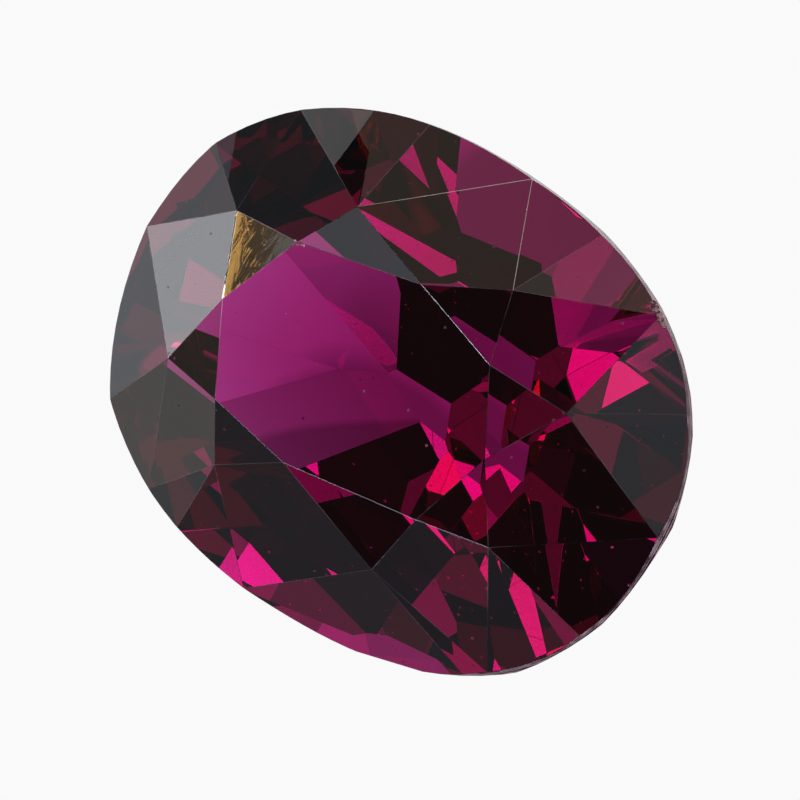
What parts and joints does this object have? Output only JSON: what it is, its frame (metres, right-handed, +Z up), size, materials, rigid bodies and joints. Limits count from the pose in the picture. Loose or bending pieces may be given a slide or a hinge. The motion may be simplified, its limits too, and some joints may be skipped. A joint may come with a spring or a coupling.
{
  "type": "faceted garnet gemstone",
  "caption": "Polished purple-red garnet cut as an oval brilliant, a loose transparent gem lying on a pavilion facet.",
  "frame": {"origin": "on the surface it lies on, below the middle of its box", "axes": "+X along the oval's long axis, +Z up from the pavilion facet that the stone lies on; the table faces up and towards -Y"},
  "size_m": [0.01, 0.0058, 0.0056],
  "materials": {
    "garnet": "polished transparent purple-red gem with a fine-ground girdle"
  },
  "bodies": {
    "root": {"garnet": "garnet"}
  },
  "joints": []
}
